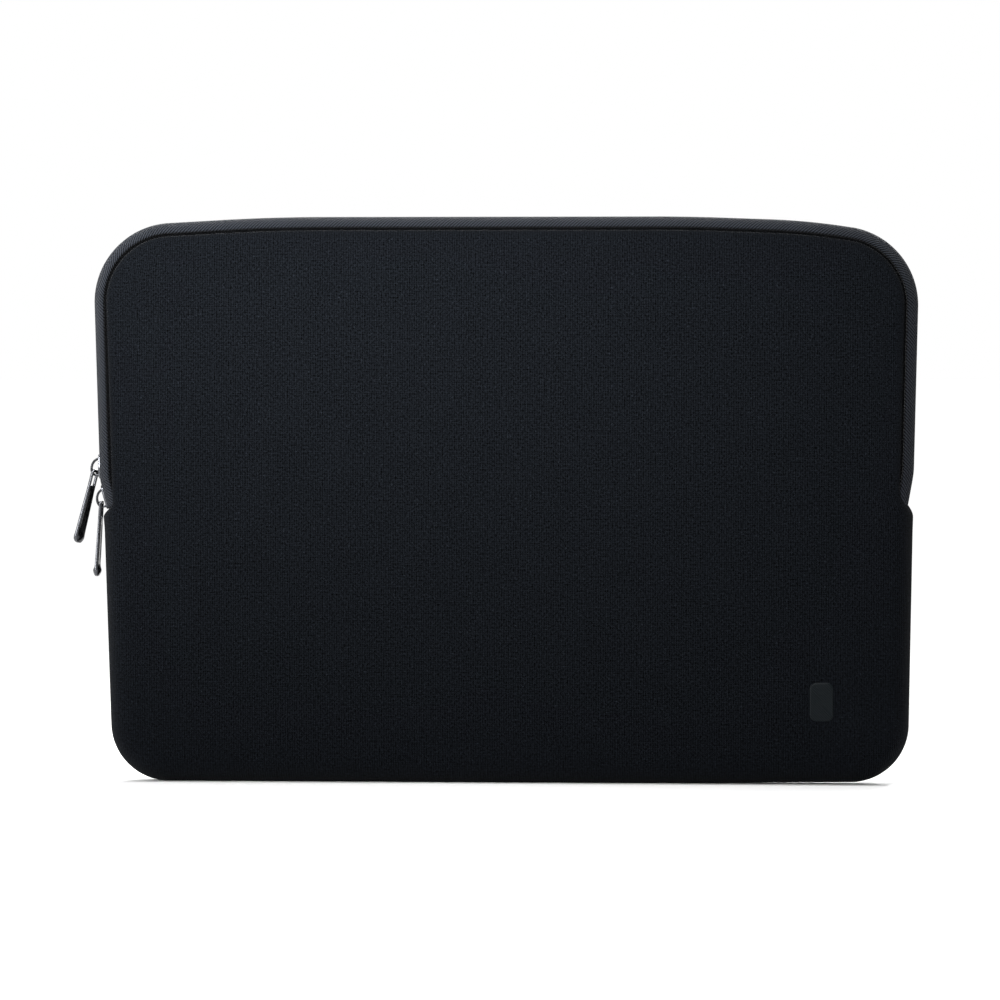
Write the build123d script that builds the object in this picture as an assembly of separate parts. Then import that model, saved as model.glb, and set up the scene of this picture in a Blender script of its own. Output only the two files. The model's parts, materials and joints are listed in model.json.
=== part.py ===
"""Padded laptop sleeve with a two-way zip round its upper half, in millimetres.

The sleeve stands on its bottom edge: +Z is up, the front faces -Y, and the origin is the middle of the
bottom edge. A shape that follows the zip is drawn in the zip's own section: u points out of the sleeve,
square to the zip's line, and v points back, along +Y.
"""
import os
from math import cos, radians, sin

from build123d import *

# ---- driving dimensions -------------------------------------------------------------------------
HALF_DEPTH = 12.5        # from the parting line to the flat outer face of either panel
PANEL_WALL = 3.5         # neoprene with a knit face bonded to both sides
EDGE_ROUND = 6.0         # roll of a panel's edge towards the parting line
LINING_WALL = 0.7
LINING_GAP = 0.1
PARTING_Y = -0.5         # the back panel's lower edge, a little in front of the middle
PARTING_GAP = 0.1        # the front panel stops this far short of the back one

BODY_OUTLINE = [(187.9, 0), (190.0, 118), (192.4, 254.2), (140, 262.0), (85, 264), (-108, 264),
                (-193.3, 259.3), (-188.1, 118), (-184.3, 0)]
BODY_RADII = [27, 900, 34, 300, 900, 900, 35, 900, 27]

LEFT_BEND = (-189.7, 141.2)       # where the zip turns in towards its parked end
END_TILT = 15.0                   # how far the parked end leans in from vertical
END_LENGTH = 15.0
ZIP_LINE = [(-193.2, 259.3), (-108, 264), (85, 264), (140, 262.0), (192.4, 254.2), (189.9, 145),
            (186.8, 126.5)]
ZIP_RADII = [12, 35, 900, 900, 300, 34, 40]

TAPE_WALL = 0.7
TAPE_ROUND = 6.7         # outer radius of the tape between its flat crown and the seam
TAPE_FLAT = 4.8          # half width of the flat crown that the sliders run on
TAPE_SLIT = 0.55         # half of the slit between the two tapes
SEAM_GAP = 0.05
SHOULDER = 20.0          # long enough for the shoulder cut to clear the outline
COIL_NEAR, COIL_FAR = 0.6, 2.9    # the coil's extent in v
COIL_HIGH, COIL_LOW = -0.75, -2.15
STOP_LENGTH = 2.0
BINDING_WIDTH = 1.5
BINDING_HEIGHT = 2.5

FOLD_HEIGHT = 163.0      # the front panel folds open along this line
FOLD_GAP = 0.3

SLIDER_HALF_LENGTH = 5.75
SLIDER_HALF_WIDTH = 4.0
WING_LOW, WING_HIGH = 0.15, 1.05
KEEL_LOW, KEEL_HIGH = -3.5, -2.35
FLANGE_IN, FLANGE_TOP = 3.3, -0.95
POST_HALF = 0.4
STRAP_WALL = 0.9
STRAP_WIDTH = 1.5
STRAP_RISE = 5.1
UPPER_ALONG = 6.2        # from the zip's bend up to the middle of the upper slider
LOWER_ALONG = 8.3        # from the zip's bend down to the middle of the lower slider

PIVOT_ALONG, PIVOT_OUT = -2.1, 2.95   # a puller's bar, from the middle of its slider
PULLER_LENGTH = 34.8     # from the bar's middle to the end
PULLER_WALL = 1.6
PULLER_HEAD = 4.8        # width at the eye
PULLER_FOOT = 6.8        # width at the rounded end
PULLER_BAR = 0.8         # radius of the bar that hangs in the strap
SLOT_WIDTH, SLOT_LENGTH = 3.0, 7.6
TIP_LENGTH = 6.3
TIP_WALL = 3.8
UPPER_LEAN, UPPER_TWIST = 14.0, 28.0
LOWER_LEAN, LOWER_TWIST = 3.6, 4.0

PATCH_WIDTH, PATCH_HEIGHT, PATCH_WALL = 11.0, 18.0, 0.45
PATCH_CENTRE = (148.0, 38.8)

SPAN = 600.0             # larger than the sleeve, for cutting blocks


# ---- lines that the parts share -----------------------------------------------------------------
def unit(a, b):
    """The unit vector from a to b, both (x, z)."""
    step = Vector(b[0] - a[0], b[1] - a[1])
    return step.normalized()


def zip_start():
    """The parked end of the zip, on its outer surface."""
    return (LEFT_BEND[0] + END_LENGTH * sin(radians(END_TILT)),
            LEFT_BEND[1] - END_LENGTH * cos(radians(END_TILT)))


def zip_path(trim_start=0.0, trim_end=0.0):
    """The zip's line in the XZ plane from its parked end to its far end; a negative trim lengthens it."""
    points = [zip_start(), LEFT_BEND, *ZIP_LINE]
    first, last = unit(points[0], points[1]), unit(points[-1], points[-2])
    points[0] = (points[0][0] + first.X * trim_start, points[0][1] + first.Y * trim_start)
    points[-1] = (points[-1][0] + last.X * trim_end, points[-1][1] + last.Y * trim_end)
    return FilletPolyline(*[(x, 0, z) for x, z in points], radius=ZIP_RADII)


def section_plane(path):
    """The plane square to the path's start, with x pointing out of the sleeve and y pointing back."""
    along = path % 0
    return Plane(origin=path @ 0, x_dir=Vector(0, 1, 0).cross(along) * -1, z_dir=along)


def swept(path, section):
    """A section drawn in (u, v), carried along a path in the XZ plane."""
    plane = section_plane(path)
    flip = 1 if plane.y_dir.Y > 0 else -1
    face = plane * (section if flip > 0 else mirror(section, Plane.XZ))
    return sweep(face, path=path)


def block(u0, u1, v0, v1, rounding=0.0):
    """A rectangle in (u, v)."""
    shape = Rectangle(abs(u1 - u0), abs(v1 - v0))
    if rounding:
        shape = RectangleRounded(abs(u1 - u0), abs(v1 - v0), rounding)
    return Pos((u0 + u1) / 2, (v0 + v1) / 2) * shape


def above(height):
    """Everything higher than a height."""
    return Pos(0, 0, height + SPAN / 2) * Box(SPAN, SPAN, SPAN)


def below(height):
    """Everything lower than a height."""
    return Pos(0, 0, height - SPAN / 2) * Box(SPAN, SPAN, SPAN)


def side(height, left):
    """What lies under a height on the left or the right half."""
    return below(height) & (Pos(SPAN / 2 * (-1 if left else 1), 0, 0) * Box(SPAN, SPAN, SPAN * 2))


# ---- panels and lining --------------------------------------------------------------------------
def pillow(inset, start, reach, rounding, front):
    """The body's outline, drawn in by inset and run from start out to reach, with its far edge rolled."""
    outline = FilletPolyline(*BODY_OUTLINE, radius=BODY_RADII, close=True)
    face = make_face(outline)
    if inset:
        face = offset(face, amount=-inset, kind=Kind.INTERSECTION)
    plane = Plane.XZ.offset(start) if front else Plane.XZ.offset(-start)
    solid = extrude(plane * face, amount=(reach - start) * (1 if front else -1))
    far = solid.faces().sort_by(Axis.Y)[0 if front else -1]
    return fillet(far.edges(), rounding)


def lower_region():
    """The part of the XZ plane under the zip's two ends, with a shoulder that falls away outside them."""
    corners = []
    for end, next_point, inward in ((zip_start(), LEFT_BEND, 1), (ZIP_LINE[-1], ZIP_LINE[-2], -1)):
        up = unit(end, next_point)
        corner = Vector(end[0], end[1]) - up * SEAM_GAP
        square = Vector(up.Y, -up.X) * inward
        shoulder = corner + Vector(-SHOULDER * inward, -SHOULDER)
        foot = Vector(shoulder.X, -SHOULDER)
        corners.append([foot, shoulder, corner, corner + square * (TAPE_ROUND + 2)])
    left, right = corners
    return make_face(Polyline(*left, *reversed(right), close=True))


def seam_region(inset):
    """The part of the XZ plane above the lower region and further in than inset from the zip's line."""
    points = [zip_start(), LEFT_BEND, *ZIP_LINE]
    first, last = unit(points[1], points[0]), unit(points[-2], points[-1])
    points[0] = (points[0][0] + first.X * 60, points[0][1] + first.Y * 60)
    points[-1] = (points[-1][0] + last.X * 60, points[-1][1] + last.Y * 60)
    outline = FilletPolyline(*points, radius=[0, *ZIP_RADII, 0], close=True)
    return offset(make_face(outline), amount=-inset, kind=Kind.INTERSECTION) - lower_region()


def tray(inset, wall, reach, rounding, seam_inset, front):
    """One side of the sleeve: rolled to the parting line round its lower half, flat up to the zip's seam."""
    start = PARTING_GAP - PARTING_Y if front else PARTING_Y
    rolled = pillow(inset, start, reach, rounding, front)
    rolled -= pillow(inset + wall, -1.0, reach - wall, rounding - wall, front)
    rolled &= extrude(Plane.XZ * lower_region(), amount=HALF_DEPTH + 1, both=True)
    hand = 1 if front else -1
    plane = Plane.XZ.offset(hand * (reach - wall))
    return rolled + extrude(plane * seam_region(seam_inset), amount=hand * wall)


def panel(front):
    """A whole outer panel."""
    return tray(0.0, PANEL_WALL, HALF_DEPTH, EDGE_ROUND, TAPE_ROUND + SEAM_GAP, front)


def lining(front):
    """A whole lining panel, just inside the outer one."""
    inset = PANEL_WALL + LINING_GAP
    seam_inset = TAPE_ROUND + 2 * SEAM_GAP + BINDING_WIDTH + LINING_GAP
    return tray(inset, LINING_WALL, HALF_DEPTH - inset, EDGE_ROUND - inset, seam_inset, front)


# ---- the zip ------------------------------------------------------------------------------------
def tape_section(front):
    """A tape in (u, v): a flat crown beside the slit, then a quarter round down to the seam."""
    sign = -1 if front else 1
    inner = TAPE_ROUND - TAPE_WALL
    centre = (-TAPE_ROUND, sign * TAPE_FLAT)
    turn = sin(radians(45))
    outer_arc = ThreePointArc((0, sign * TAPE_FLAT),
                              (centre[0] + TAPE_ROUND * turn, centre[1] + sign * TAPE_ROUND * turn),
                              (centre[0], centre[1] + sign * TAPE_ROUND))
    inner_arc = ThreePointArc((centre[0], centre[1] + sign * inner),
                              (centre[0] + inner * turn, centre[1] + sign * inner * turn),
                              (-TAPE_WALL, sign * TAPE_FLAT))
    edges = [Line((0, sign * TAPE_SLIT), (0, sign * TAPE_FLAT)), outer_arc,
             Line(outer_arc @ 1, inner_arc @ 0), inner_arc,
             Line((-TAPE_WALL, sign * TAPE_FLAT), (-TAPE_WALL, sign * TAPE_SLIT)),
             Line((-TAPE_WALL, sign * TAPE_SLIT), (0, sign * TAPE_SLIT))]
    return make_face(Wire(edges))


def tape(front):
    return swept(zip_path(), tape_section(front))


def coil(front):
    """The coil row under the tape, as one bar of its outer size."""
    sign = -1 if front else 1
    trim = STOP_LENGTH + 0.2
    return swept(zip_path(trim, trim), block(COIL_LOW, COIL_HIGH, sign * COIL_NEAR, sign * COIL_FAR, 0.3))


def end_stop(left):
    """The moulded stop across both tapes' inner faces, under the last of the zip."""
    points = [zip_start(), LEFT_BEND] if left else [ZIP_LINE[-1], ZIP_LINE[-2]]
    along = unit(*points)
    near = 0.05
    line = Line((points[0][0] + along.X * near, 0, points[0][1] + along.Y * near),
                (points[0][0] + along.X * STOP_LENGTH, 0, points[0][1] + along.Y * STOP_LENGTH))
    section = block(COIL_LOW, COIL_HIGH, -COIL_FAR, COIL_FAR, 0.3)
    if not left:
        section = mirror(section, Plane.YZ)
    return swept(line, section)


def binding(front):
    """The bound raw edge of the zip's seam, a soft ridge inside the sleeve."""
    sign = -1 if front else 1
    high = HALF_DEPTH - PANEL_WALL - SEAM_GAP
    outer = TAPE_ROUND + 2 * SEAM_GAP
    section = block(-outer - BINDING_WIDTH, -outer, sign * high, sign * (high - BINDING_HEIGHT), 0.5)
    return swept(zip_path(), section)


def lower_binding():
    """The bound raw edge of the seam that joins the panels round the lower half."""
    points = [*BODY_OUTLINE[1::-1], *BODY_OUTLINE[:-3:-1]]
    path = FilletPolyline(*[(x, 0, z) for x, z in points], radius=[BODY_RADII[0], BODY_RADII[-1]])
    inset = PANEL_WALL + LINING_GAP + LINING_WALL + SEAM_GAP
    section = block(-inset - 2.6, -inset, -0.9, 0.9, 0.5)
    plane = section_plane(path)
    if plane.x_dir.X < 0:
        section = mirror(section, Plane.YZ)
    return sweep(plane * section, path=path)


# ---- sliders and pullers ------------------------------------------------------------------------
def slider_frame(lower):
    """A slider's own frame: x to the front, y up the zip, z out of the sleeve."""
    if lower:
        down = unit(LEFT_BEND, zip_start())
        up, offset_along = down * -1, down * LOWER_ALONG
    else:
        up = unit(LEFT_BEND, ZIP_LINE[0])
        offset_along = up * UPPER_ALONG
    place = (LEFT_BEND[0] + offset_along.X, 0, LEFT_BEND[1] + offset_along.Y)
    outward = Vector(-up.Y, 0, up.X)
    return Plane(origin=place, x_dir=(0, -1, 0), z_dir=outward)


def wing_outline(nose):
    """A wing seen from outside: broad at the nose, where the rows part, and waisted towards the tail."""
    h, w = SLIDER_HALF_LENGTH, SLIDER_HALF_WIDTH
    half = [(1.6, h), (w - 0.3, h - 1.4), (w, 0.6), (w - 1.0, -h + 1.6), (w - 1.7, -h)]
    points = half + [(-x, y) for x, y in reversed(half)]
    line = FilletPolyline(*[(x, y * nose) for x, y in points], radius=1.1, close=True)
    return make_face(line)


def slider_body(nose):
    """The cast body: outer wing, keel with its two flanges, and the post that parts the rows."""
    wing = Pos(0, 0, WING_LOW) * extrude(wing_outline(nose), amount=WING_HIGH - WING_LOW)
    wing = chamfer(wing.faces().sort_by(Axis.Z)[-1].edges(), 0.3)
    keel = Pos(0, 0, KEEL_LOW) * extrude(wing_outline(nose), amount=KEEL_HIGH - KEEL_LOW)
    keel = chamfer(keel.faces().sort_by(Axis.Z)[0].edges(), 0.3)
    flange_height = FLANGE_TOP - KEEL_HIGH + 0.3
    flange_width = SLIDER_HALF_WIDTH - FLANGE_IN
    flange = Box(flange_width, 6.0, flange_height)
    flange = fillet(flange.edges().filter_by(Axis.Z), 0.3)
    body = wing + keel
    for hand in (-1, 1):
        x = hand * (FLANGE_IN + flange_width / 2)
        body += Pos(x, nose * 0.9, FLANGE_TOP - flange_height / 2) * flange
    post = Box(2 * POST_HALF, 2.4, WING_LOW - KEEL_HIGH + 0.4)
    body += Pos(0, nose * (SLIDER_HALF_LENGTH - 1.6), (WING_LOW + KEEL_HIGH) / 2) * post
    return body


def strap_profile(grow):
    """The side view of the strap's inner edge in (y, z), grown outwards by grow."""
    rise = STRAP_RISE - STRAP_WALL + grow
    points = [(3.0 + grow, WING_HIGH), (1.6 + grow * 0.5, rise), (-3.1 - grow * 0.6, rise - 0.15),
              (-3.6 - grow, WING_HIGH)]
    return FilletPolyline(*points, radius=[1.0 + grow, 0.55 + grow]), points


def strap():
    """The D-shaped strap on the outer wing that the puller hangs from."""
    outer_line, outer = strap_profile(STRAP_WALL)
    inner_line, inner = strap_profile(0.0)
    face = make_face(Wire([*outer_line.edges(), Line(outer[-1], inner[-1]),
                           *inner_line.edges(), Line(inner[0], outer[0])]))
    upright = Plane.YZ * face
    solid = extrude(upright, amount=STRAP_WIDTH / 2, both=True)
    long_edges = solid.edges().filter_by(Plane.YZ)
    return chamfer(long_edges, 0.15)


def puller():
    """A tapered metal tab hanging down from its bar: x is its width, y its length (down is -y), z its wall."""
    half_head, half_foot = PULLER_HEAD / 2, PULLER_FOOT / 2
    foot = -PULLER_LENGTH + half_foot
    head = PULLER_BAR
    outline = FilletPolyline((-half_head, head), (half_head, head), (half_head + 0.1, -SLOT_LENGTH),
                             (half_foot, -PULLER_LENGTH), (-half_foot, -PULLER_LENGTH),
                             (-half_head - 0.1, -SLOT_LENGTH), radius=[1.2, 1.2, 9, 3.2, 3.2, 9], close=True)
    blade = extrude(make_face(outline), amount=PULLER_WALL / 2, both=True)
    rims = blade.faces().sort_by(Axis.Z)[-1].edges() + blade.faces().sort_by(Axis.Z)[0].edges()
    blade = chamfer(rims, 0.4)
    slot = Pos(0, PULLER_BAR - SLOT_LENGTH / 2) * RectangleRounded(SLOT_WIDTH, SLOT_LENGTH, 0.6)
    slot += Pos(0, PULLER_BAR) * Rectangle(SLOT_WIDTH, 2)
    blade -= extrude(slot, amount=PULLER_WALL, both=True)
    bar = Rot(0, 90, 0) * Cylinder(PULLER_BAR, SLOT_WIDTH + 0.6)
    return blade + bar + puller_tip(foot)


def puller_tip(foot):
    """The thicker grip at the puller's end: a wedge that swells, then comes to a blunt point."""
    low = -PULLER_LENGTH
    half_wall, half_tip = PULLER_WALL / 2 - 0.1, TIP_WALL / 2
    side_view = Polyline((low + TIP_LENGTH, half_wall), (low + TIP_LENGTH * 0.4, half_tip), (low, 0.4),
                         (low, -0.4), (low + TIP_LENGTH * 0.4, -half_tip), (low + TIP_LENGTH, -half_wall),
                         close=True)
    wedge = extrude(Plane.YZ * make_face(side_view), amount=PULLER_FOOT / 2 - 0.1, both=True)
    trim = extrude(Pos(0, foot) * Circle(PULLER_FOOT / 2 - 0.1), amount=TIP_WALL, both=True)
    trim += Pos(0, foot + 4) * Box(PULLER_FOOT - 0.2, 8, 2 * TIP_WALL)
    return wedge & trim


def puller_frame(lower):
    """Where a puller hangs: its bar's middle, leaning out from vertical and turned about its own length."""
    frame = slider_frame(lower)
    pivot = frame.origin + frame.y_dir * PIVOT_ALONG + frame.z_dir * PIVOT_OUT
    lean = radians(LOWER_LEAN if lower else UPPER_LEAN)
    twist = radians(LOWER_TWIST if lower else UPPER_TWIST)
    outward = Vector(-cos(lean), 0, sin(lean))
    front = Vector(0, -1, 0)
    return Plane(origin=pivot, x_dir=front * cos(twist) + outward * sin(twist),
                 z_dir=outward * cos(twist) - front * sin(twist))


# ---- badge --------------------------------------------------------------------------------------
def patch():
    """A plain tonal badge, pressed on the front near its lower right corner."""
    plane = Plane.XZ.offset(HALF_DEPTH)
    badge = plane * (Pos(*PATCH_CENTRE) * RectangleRounded(PATCH_WIDTH, PATCH_HEIGHT, 3.0))
    solid = extrude(badge, amount=PATCH_WALL)
    return chamfer(solid.faces().sort_by(Axis.Y)[0].edges(), 0.15)


# ---- write the parts ----------------------------------------------------------------------------
def split_at_fold(whole, name):
    """A front part as its lower half and its flap."""
    return {f"{name}_lower": whole & below(FOLD_HEIGHT - FOLD_GAP / 2),
            f"{name}_flap": whole & above(FOLD_HEIGHT + FOLD_GAP / 2)}


def split_in_three(whole, name):
    """A front part that follows the zip, as its left end, its flap and its right end."""
    low = FOLD_HEIGHT - FOLD_GAP / 2
    return {f"{name}_left": whole & side(low, True), f"{name}_right": whole & side(low, False),
            f"{name}_flap": whole & above(FOLD_HEIGHT + FOLD_GAP / 2)}


def all_parts():
    """Every node by name."""
    parts = {"back_panel": panel(False), "back_lining": lining(False)}
    parts |= split_at_fold(panel(True), "front_panel")
    parts |= split_at_fold(lining(True), "front_lining")
    parts |= {"zip_tape_back": tape(False), "zip_coil_back": coil(False), "zip_binding_back": binding(False)}
    parts |= split_in_three(tape(True), "zip_tape_front")
    parts |= split_in_three(coil(True), "zip_coil_front")
    parts |= split_in_three(binding(True), "zip_binding_front")
    parts |= {"zip_stop_left": end_stop(True), "zip_stop_right": end_stop(False)}
    parts |= {"seam_binding_lower": lower_binding(), "badge_patch": patch()}
    for name, lower in (("upper", False), ("lower", True)):
        frame = slider_frame(lower)
        nose = 1 if lower else -1
        parts[f"slider_{name}_body"] = frame * slider_body(nose)
        parts[f"slider_{name}_strap"] = frame * strap()
        parts[f"puller_{name}"] = puller_frame(lower) * puller()
    return parts


os.makedirs("parts", exist_ok=True)
for node, shape in all_parts().items():
    export_step(shape, f"parts/{node}.step")
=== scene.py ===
"""A padded laptop sleeve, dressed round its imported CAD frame: knit panels, zip, lining, sliders and pullers.

Shapes are worked out in millimetres and written in metres. A section is drawn in (u, v): u points out of
the sleeve, square to its edge, and v is the distance from the parting plane towards the front or the back.
"""
import json
import math

import bmesh
import bpy
import numpy as np
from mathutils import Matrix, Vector


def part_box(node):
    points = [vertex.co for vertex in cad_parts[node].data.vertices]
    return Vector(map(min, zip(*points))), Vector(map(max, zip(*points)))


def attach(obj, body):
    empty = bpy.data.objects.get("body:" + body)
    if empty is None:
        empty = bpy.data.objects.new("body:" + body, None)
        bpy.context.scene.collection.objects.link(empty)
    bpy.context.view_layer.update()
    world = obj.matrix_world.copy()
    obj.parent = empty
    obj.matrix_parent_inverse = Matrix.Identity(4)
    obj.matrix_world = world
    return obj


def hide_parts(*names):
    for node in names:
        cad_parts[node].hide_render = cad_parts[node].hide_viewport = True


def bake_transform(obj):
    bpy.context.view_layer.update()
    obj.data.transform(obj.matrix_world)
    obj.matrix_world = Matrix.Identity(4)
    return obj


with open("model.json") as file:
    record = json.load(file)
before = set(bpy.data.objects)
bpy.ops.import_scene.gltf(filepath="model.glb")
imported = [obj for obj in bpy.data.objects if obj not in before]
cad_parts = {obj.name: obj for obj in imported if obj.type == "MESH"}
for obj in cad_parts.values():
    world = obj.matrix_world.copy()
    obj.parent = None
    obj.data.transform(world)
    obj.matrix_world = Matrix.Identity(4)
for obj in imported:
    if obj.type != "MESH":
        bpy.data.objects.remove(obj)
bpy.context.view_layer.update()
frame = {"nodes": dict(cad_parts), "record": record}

MM = 0.001

# ---- lines ---------------------------------------------------------------------------------------
# The edge that the panels' sections follow: the outline below the zip's ends, the zip's line above them.
EDGE_LINE = [(0, 0), (-184.3, 0), (-188.1, 118), (-188.6, 124), (-189.3, 131), (-189.7, 141.2),
             (-193.2, 259.3), (-108, 264), (85, 264), (140, 262.0), (193.1, 254.2), (190.5, 145),
             (190.3, 133), (190.2, 124), (190.0, 118), (187.9, 1.2), (70, 0)]
EDGE_RADII = [900, 27, 60, 40, 40, 60, 37, 900, 900, 300, 36.5, 60, 40, 40, 60, 27, 900]
ZIP_LINE = [(-185.82, 126.7), (-189.7, 141.2), (-193.2, 259.3), (-108, 264), (85, 264), (140, 262.0),
            (193.1, 254.2), (190.5, 145), (187.2, 126.5)]
ZIP_RADII = [12, 37, 900, 900, 300, 36.5, 40]
LOWER_LINE = [(189.9, 119), (187.9, 0), (-184.3, 0), (-188.0, 119)]
LOWER_RADII = [27, 27]

# ---- panel sections --------------------------------------------------------------------------------
# Above the zip's ends the panel stops at the zip's seam; below them it rolls round to the other panel.
SEAM_PANEL = [(-20, 12.9), (-16, 12.82), (-13, 12.72), (-10, 12.58), (-8.3, 12.45), (-7.4, 12.3),
              (-6.78, 12.08), (-6.46, 11.75), (-6.3, 11.3), (-6.24, 10.6), (-6.28, 9.9),
              (-6.65, 9.3), (-7.6, 9.02), (-10, 9.05), (-14, 9.2), (-20, 9.4)]
ROLL_PANEL = [(-20, 12.9), (-15, 12.8), (-11, 12.5), (-8.0, 11.95), (-5.6, 10.95), (-3.6, 9.4),
              (-2.0, 7.4), (-0.9, 5.1), (-0.2, 3.1), (0.0, 1.5), (-0.6, 0.4),
              (-2.4, 0.3), (-4.0, 1.8), (-4.7, 4.6), (-7.6, 8.1), (-20, 9.4)]
SEAM_LINING = [(-20, 9.28), (-14, 9.08), (-10.5, 8.93), (-9.3, 8.86), (-8.75, 8.7), (-8.6, 8.5),
               (-8.75, 8.28), (-9.3, 8.16), (-10.5, 8.22), (-14, 8.38), (-20, 8.58)]
ROLL_LINING = [(-20, 9.28), (-12, 9.0), (-7.9, 7.9), (-5.1, 4.9), (-4.45, 2.2), (-4.35, 0.9),
               (-5.0, 0.95), (-5.2, 2.4), (-5.8, 4.7), (-8.4, 7.3), (-20, 8.58)]
PANEL_FACE = 12.9        # how far the panel's face is from the parting plane, 20 mm in from its edge
NOTCH = {-1: (130.2, 123.6), 1: (137.0, 124.5)}   # between these heights a side turns from seam to roll

TAPE_ROUND = 5.9         # radius of the tape's turn from the zip's crown to its seam
TAPE_WALL = 0.7
TAPE_FLAT = 5.5          # half width of the crown
TAPE_MIDDLE = 5.2        # where the herringbone turns, along the cloth from the slit
TAPE_RIB = 1.6           # pitch of the herringbone
TAPE_GROOVE_SHADE = 13.3      # past this the cloth dips into the seam's groove, and its colour is darkened there as painted shade
COIL_PITCH = 1.3
COIL_THREAD = 0.32       # radius
COIL_STEPS, COIL_SIDES = 12, 5       # points along one turn of the coil, and round its thread
STITCH = 2.9             # length of the zip seam's stitches
BOUND_STITCH = 2.8       # length of the bindings' stitches
WALE, COURSE = 1.1, 0.86             # the knit's loops, across and along

BAR_ALONG, BAR_OUT = -2.1, 2.95      # a puller's bar, from the middle of its slider
PULLER_LONG = 34.8       # from the bar's middle to the end
PULLER_BAR = 0.8         # half of the tab's thickness, and the bar's radius
EYE_TOP, EYE_FOOT, EYE_HALF = -0.8, -6.8, 1.5
PULLER_HEAD, PULLER_FOOT = 2.4, 3.4  # half widths at the eye and at the end
STRAP_LINE = [(3.9, 0.6), (3.5, 1.7), (2.6, 3.1), (1.2, 4.15), (-0.6, 4.65), (-2.3, 4.55), (-3.5, 3.9),
              (-4.1, 2.7), (-4.25, 1.5), (-4.25, 0.6)]


def smoothstep(a, b, x):
    """0 up to a, 1 past b, and an even ramp between."""
    t = np.clip((np.asarray(x, float) - a) / (b - a), 0, 1)
    return t * t * (3 - 2 * t)


def rounded_line(points, radii, closed=False, step=0.25):
    """Close points along a line of straight runs whose corners are rounded."""
    p = [np.array(q, float) for q in points]
    n = len(p)
    corners = range(n) if closed else range(1, n - 1)
    radius = dict(zip(corners, radii))
    out = [] if closed else [p[0]]
    for i in corners:
        before, corner, after = p[i - 1], p[i], p[(i + 1) % n]
        a = (corner - before) / np.linalg.norm(corner - before)
        b = (after - corner) / np.linalg.norm(after - corner)
        turn = math.atan2(a[0] * b[1] - a[1] * b[0], float(a @ b))
        if abs(turn) < 1e-6:
            out.append(corner)
            continue
        reach = radius[i] * math.tan(abs(turn) / 2)
        hand = 1 if turn > 0 else -1
        start = corner - a * reach
        centre = start + hand * radius[i] * np.array([-a[1], a[0]])
        for t in np.linspace(0, turn, max(3, int(abs(turn) * radius[i] / step))):
            d = start - centre
            c, s = math.cos(t), math.sin(t)
            out.append(centre + np.array([c * d[0] - s * d[1], s * d[0] + c * d[1]]))
    if not closed:
        out.append(p[-1])
    return np.array(out)


def lengths(line):
    """How far along a line each of its points is."""
    return np.concatenate([[0], np.cumsum(np.linalg.norm(np.diff(line, axis=0), axis=1))])


def at_length(line, s):
    """The line's points at the lengths s."""
    d = lengths(line)
    return np.stack([np.interp(s, d, line[:, 0]), np.interp(s, d, line[:, 1])], 1)


def outward(line, closed=False):
    """Unit normals on the left of a line that runs clockwise round the sleeve, seen from the front."""
    if closed:
        d = np.roll(line, -1, 0) - np.roll(line, 1, 0)
    else:
        d = np.gradient(line, axis=0)
    d /= np.linalg.norm(d, axis=1)[:, None]
    return np.stack([-d[:, 1], d[:, 0]], 1)


def curve_through(points, times):
    """A smooth section through the given points, with `times` steps between each two."""
    p = np.array(points, float)
    ends = np.vstack([2 * p[0] - p[1], p, 2 * p[-1] - p[-2]])
    out = []
    for i in range(len(p) - 1):
        a, b, c, d = ends[i:i + 4]
        for t in np.arange(times) / times:
            out.append(0.5 * (2 * b + (c - a) * t + (2 * a - 5 * b + 4 * c - d) * t * t
                              + (3 * b - a - 3 * c + d) * t ** 3))
    out.append(p[-1])
    return np.array(out)


# ---- mesh making ---------------------------------------------------------------------------------
def make_piece(name, points, faces, material, uv=None):
    """A smooth mesh object from points in millimetres."""
    mesh = bpy.data.meshes.new(name)
    mesh.from_pydata((np.asarray(points, float) * MM).tolist(), [], faces)
    if uv is not None:
        layer = mesh.uv_layers.new(name="weave")
        corner = np.zeros(len(mesh.loops), np.int32)
        mesh.loops.foreach_get("vertex_index", corner)
        layer.data.foreach_set("uv", np.asarray(uv, np.float32)[corner].ravel())
    mesh.materials.append(material)
    bm = bmesh.new()
    bm.from_mesh(mesh)
    bmesh.ops.recalc_face_normals(bm, faces=bm.faces)
    bm.to_mesh(mesh)
    bm.free()
    mesh.polygons.foreach_set("use_smooth", [True] * len(mesh.polygons))
    obj = bpy.data.objects.new(name, mesh)
    bpy.context.collection.objects.link(obj)
    return obj


def strips(rows, count, closed):
    """Quads between rows of `count` points each; closed joins each row's end to its start."""
    faces = []
    last = count if closed else count - 1
    for r in range(rows - 1):
        for i in range(last):
            j = (i + 1) % count
            faces.append((r * count + i, r * count + j, (r + 1) * count + j, (r + 1) * count + i))
    return faces


def spread(section, start, turn, hand):
    """A section's points placed along the edge: start and turn are each sample's place and outward normal."""
    u, v = section[..., 0], section[..., 1]
    x = start[:, 0, None] + turn[:, 0, None] * u
    z = start[:, 1, None] + turn[:, 1, None] * u
    return np.stack([x, hand * v, z], -1)


def sweep(name, line, section, hand, material, reshape=None, uv_out=None):
    """A closed section carried along a line, with capped ends; reshape may change it along the way."""
    normals = outward(line)
    s = lengths(line)
    rings = np.array([reshape(section, k, s[-1]) if reshape else section for k in s])
    points = spread(rings, line, normals, hand)
    rows, count = points.shape[:2]
    faces = strips(rows, count, True)
    faces.append(tuple(range(count)))
    faces.append(tuple((rows - 1) * count + i for i in reversed(range(count))))
    uv = None
    if uv_out is not None:
        uv = np.stack(np.broadcast_arrays(s[:, None], uv_out[None, :]), -1).reshape(-1, 2)
    return make_piece(name, points.reshape(-1, 3), faces, material, uv)


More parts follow.
